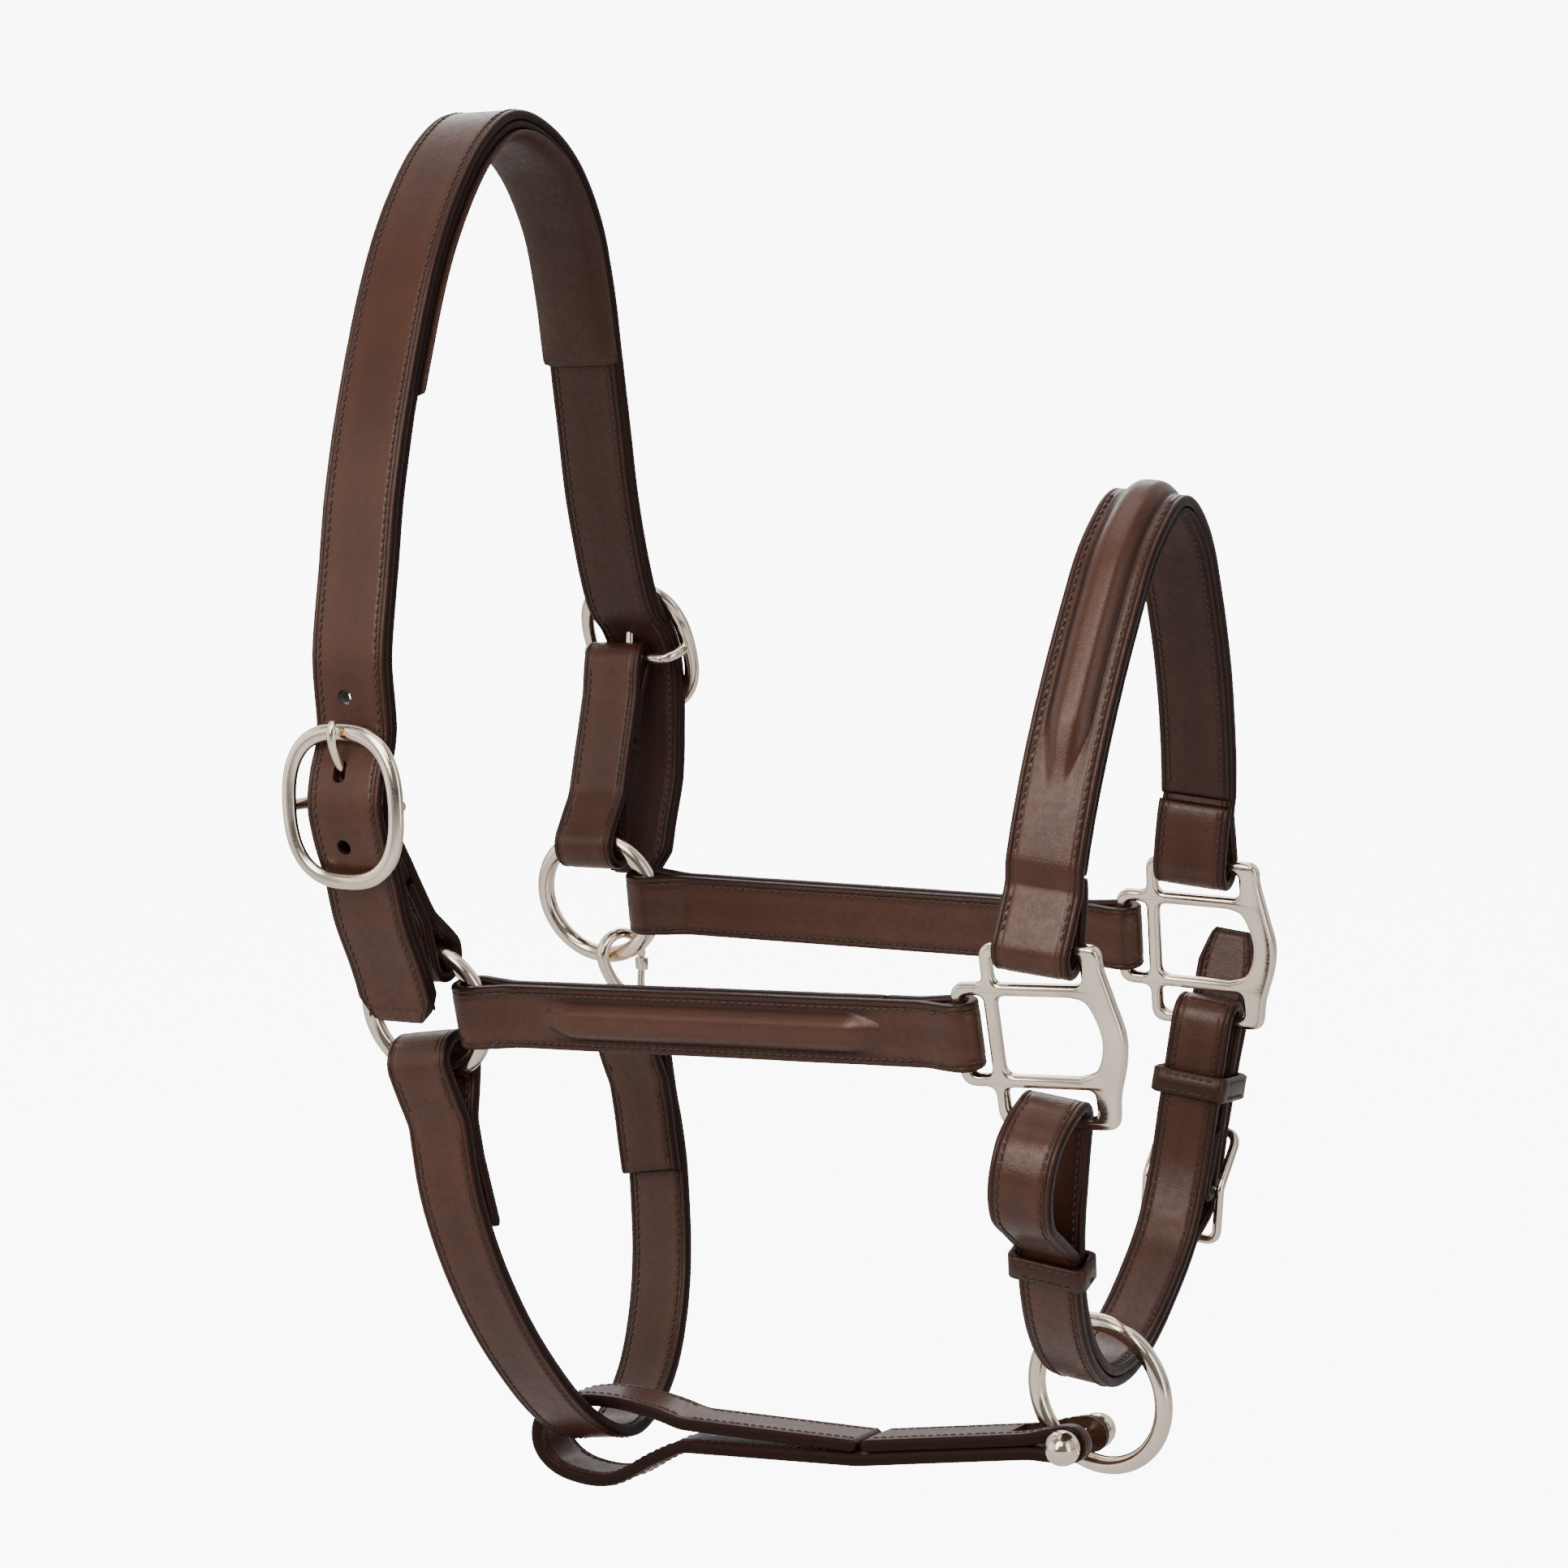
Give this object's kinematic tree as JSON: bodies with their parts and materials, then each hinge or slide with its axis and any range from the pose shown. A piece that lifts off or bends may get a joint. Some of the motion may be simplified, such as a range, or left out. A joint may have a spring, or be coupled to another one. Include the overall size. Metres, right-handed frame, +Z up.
{
  "type": "leather headcollar",
  "caption": "Leather headcollar with padded poll, buckled crown, raised noseband, adjustable chin strap with lead ring, and a throat strap that clips to a cheek ring.",
  "frame": {"origin": "underside of the poll pad at the top of the crown, in the middle plane", "axes": "+Z up from chin to poll, +X towards the nose, +Y to the animal's left"},
  "size_m": [0.2803, 0.2124, 0.4808],
  "materials": {
    "strap_leather": "semi-gloss, waxed, darker burnished edges",
    "dark_leather": "satin",
    "pad_leather": "soft satin, lightly creased",
    "nickel": "polished, slightly warm"
  },
  "bodies": {
    "crown": {"crown_outer": "strap_leather", "crown_lining": "dark_leather", "poll_pad": "pad_leather", "right_crown_buckle": "nickel", "left_crown_buckle": "nickel", "right_chape": "strap_leather", "left_chape": "strap_leather"},
    "headstall": {"right_cheek_strap": "strap_leather", "left_cheek_strap": "strap_leather", "right_cheek_ridge": "strap_leather", "left_cheek_ridge": "strap_leather", "right_halter_square": "nickel", "left_halter_square": "nickel", "noseband_outer": "strap_leather", "noseband_lining": "dark_leather", "noseband_ridge": "strap_leather", "chin_strap": "strap_leather", "chin_buckle": "nickel", "link_strap": "strap_leather", "link_rod": "nickel", "throat_strap": "strap_leather", "snap_body": "nickel", "snap_eye": "nickel", "snap_gate_pin": "nickel"},
    "right_ring": {"right_cheek_ring": "nickel"},
    "left_ring": {"left_cheek_ring": "nickel"},
    "lead_ring": {"chin_ring": "nickel"},
    "right_crown_tongue": {"right_crown_tongue": "nickel"},
    "left_crown_tongue": {"left_crown_tongue": "nickel"},
    "chin_tongue": {"chin_tongue": "nickel"},
    "right_keeper": {"right_chin_keeper": "dark_leather"},
    "left_keeper": {"left_chin_keeper": "dark_leather"},
    "snap_gate": {"snap_gate": "nickel"}
  },
  "joints": [
    {"name": "crown_fold", "type": "hinge", "parent": "crown", "child": "headstall", "pos_m": [-0.006, 0, -0.2775], "axis": [0, 0.9909, 0.1344], "range_deg": [0, 50]},
    {"name": "right_ring_turn", "type": "hinge", "parent": "headstall", "child": "right_ring", "pos_m": [-0.006, -0.059, -0.2855], "axis": [0, 0.9909, 0.1344], "continuous": true},
    {"name": "left_ring_turn", "type": "hinge", "parent": "headstall", "child": "left_ring", "pos_m": [-0.006, 0.059, -0.2695], "axis": [0, 0.9909, 0.1344], "continuous": true},
    {"name": "lead_ring_turn", "type": "hinge", "parent": "headstall", "child": "lead_ring", "pos_m": [0.209, 0, -0.4145], "axis": [0.1736, 0.9848, 0], "continuous": true},
    {"name": "right_crown_tongue_hinge", "type": "hinge", "parent": "crown", "child": "right_crown_tongue", "pos_m": [-0.002, -0.09661, -0.20783], "axis": [1, 0, 0], "range_deg": [0, 8]},
    {"name": "left_crown_tongue_hinge", "type": "hinge", "parent": "crown", "child": "left_crown_tongue", "pos_m": [-0.002, 0.08217, -0.18471], "axis": [1, 0, 0], "range_deg": [-8, 0]},
    {"name": "chin_tongue_hinge", "type": "hinge", "parent": "headstall", "child": "chin_tongue", "pos_m": [0.21497, 0.06691, -0.36044], "axis": [0.9914, 0, -0.1305], "range_deg": [-12, 0]},
    {"name": "right_keeper_slide", "type": "slide", "parent": "headstall", "child": "right_keeper", "axis": [0.1252, -0.284, 0.9506], "range_m": [-0.003, 0]},
    {"name": "left_keeper_slide", "type": "slide", "parent": "headstall", "child": "left_keeper", "axis": [0.1286, 0.1737, 0.9764], "range_m": [-0.005, 0.003]},
    {"name": "snap_gate_hinge", "type": "hinge", "parent": "headstall", "child": "snap_gate", "pos_m": [0.0041, 0.06795, -0.31004], "axis": [0.8387, -0.5446, 0], "range_deg": [0, 18], "stiffness_Nm_per_rad": 0.02}
  ]
}
